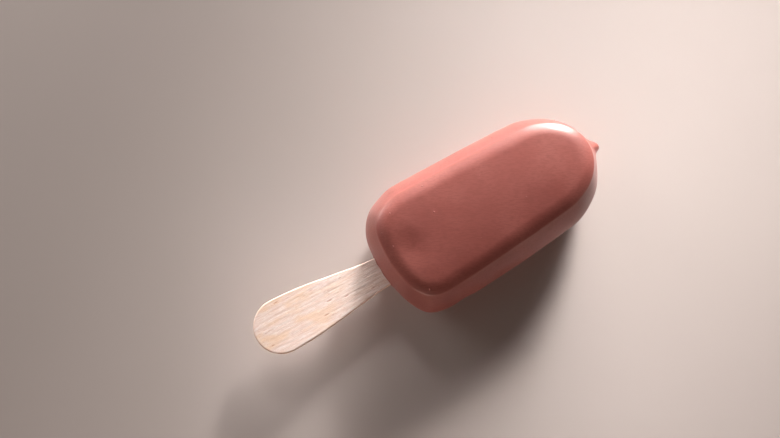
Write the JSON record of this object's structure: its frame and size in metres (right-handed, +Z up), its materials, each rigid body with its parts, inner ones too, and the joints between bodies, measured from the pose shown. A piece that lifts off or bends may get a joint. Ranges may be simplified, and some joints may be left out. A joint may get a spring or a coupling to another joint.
{
  "type": "ice cream bar on a stick",
  "caption": "Chocolate coated ice cream bar that tapers to a round end with a drip tail, frozen on to a flat wooden paddle stick.",
  "frame": {"origin": "on the ground, under the middle of the overall length and width", "axes": "+X along the bar from the stick towards the drip tail, +Z up out of the bar's broad face"},
  "size_m": [0.1288, 0.0446, 0.026],
  "materials": {
    "milk_chocolate": "satin milk chocolate coating",
    "birch_wood": "bare sanded birch"
  },
  "bodies": {
    "root": {"coated_bar": "milk_chocolate", "stick": "birch_wood"}
  },
  "joints": []
}
